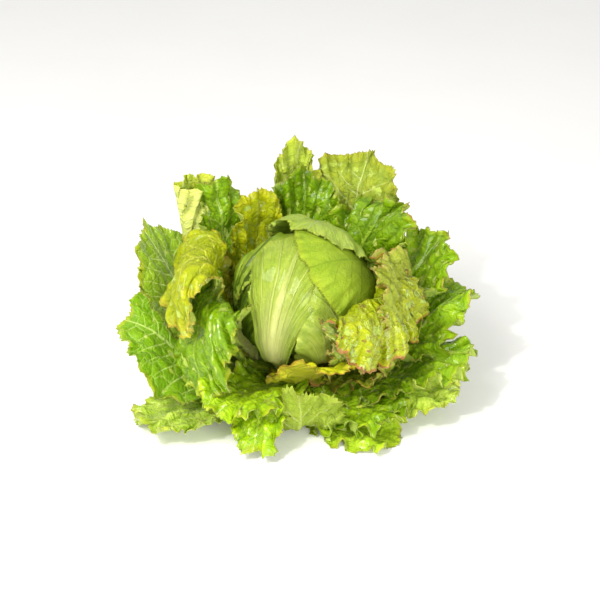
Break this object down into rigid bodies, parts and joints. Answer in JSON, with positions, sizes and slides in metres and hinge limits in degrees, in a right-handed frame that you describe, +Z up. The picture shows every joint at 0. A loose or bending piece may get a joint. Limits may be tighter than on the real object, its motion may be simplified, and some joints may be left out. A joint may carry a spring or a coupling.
{
  "type": "iceberg lettuce",
  "caption": "Freshly cut iceberg lettuce: a short stem, a tight pale head and spreading ruffled wrapper leaves, resting on its cut stem and lowest leaves.",
  "frame": {"origin": "centre of the stem's cut face, on the table", "axes": "+Z up, +Y towards the tall leaves at the back, +X to the right seen from the front; the head leans a little towards +X"},
  "size_m": [0.3458, 0.3023, 0.2097],
  "materials": {
    "stem": "cut stem, pale cream green, matt and slightly moist",
    "heart": "tight young leaves, pale yellow green, satin",
    "head_leaf": "smooth pale green leaf with white ribs, satin and a little wet",
    "head_cap": "bright yellow green outer head leaf, satin",
    "loose_leaf": "crinkled yellow green leaf with red brown margins, semi-gloss",
    "leaf_lime": "bright lime leaf, blistered, wet and glossy",
    "leaf_green": "mid green leaf, blistered, semi-gloss",
    "leaf_dark": "dark green leaf, semi-gloss",
    "leaf_pale": "pale yellow green leaf seen from its underside, matt",
    "leaf_gold": "yellowing leaf with gold and red brown margins, satin"
  },
  "bodies": {
    "root": {"stem": "stem", "heart": "heart", "head_leaf_inner_front": "head_leaf", "head_leaf_back_left": "head_leaf", "head_leaf_left": "head_leaf", "head_leaf_low_right": "head_leaf", "head_leaf_front": "head_leaf", "head_leaf_right_cap": "head_cap", "head_leaf_back_right": "head_cap", "wrapper_yellow": "leaf_gold", "wrapper_gold_edge": "leaf_gold", "wrapper_left_hanging": "leaf_lime", "loose_leaf_crinkled": "loose_leaf", "wrapper_back_glossy": "leaf_green", "loose_leaf_olive": "loose_leaf", "wrapper_dark_upper": "leaf_green", "wrapper_back_dark": "leaf_dark", "wrapper_back_tall": "leaf_pale", "wrapper_pale_fold": "leaf_pale", "wrapper_front_left": "leaf_lime", "wrapper_back_right": "leaf_pale", "wrapper_left_gold": "leaf_gold", "wrapper_right_back": "leaf_green", "wrapper_left_upper": "leaf_lime", "wrapper_right_upper": "leaf_green", "wrapper_left_flat": "leaf_lime", "wrapper_right_frill": "leaf_green", "wrapper_front_mid": "leaf_dark", "wrapper_front_glossy": "leaf_lime", "wrapper_back_low_left": "leaf_green", "wrapper_front_fold": "leaf_pale", "wrapper_back_low_right": "leaf_green", "wrapper_floor_right": "leaf_lime", "wrapper_floor_left": "leaf_green", "wrapper_front_frill": "leaf_lime", "wrapper_back_floor": "leaf_green"}
  },
  "joints": []
}
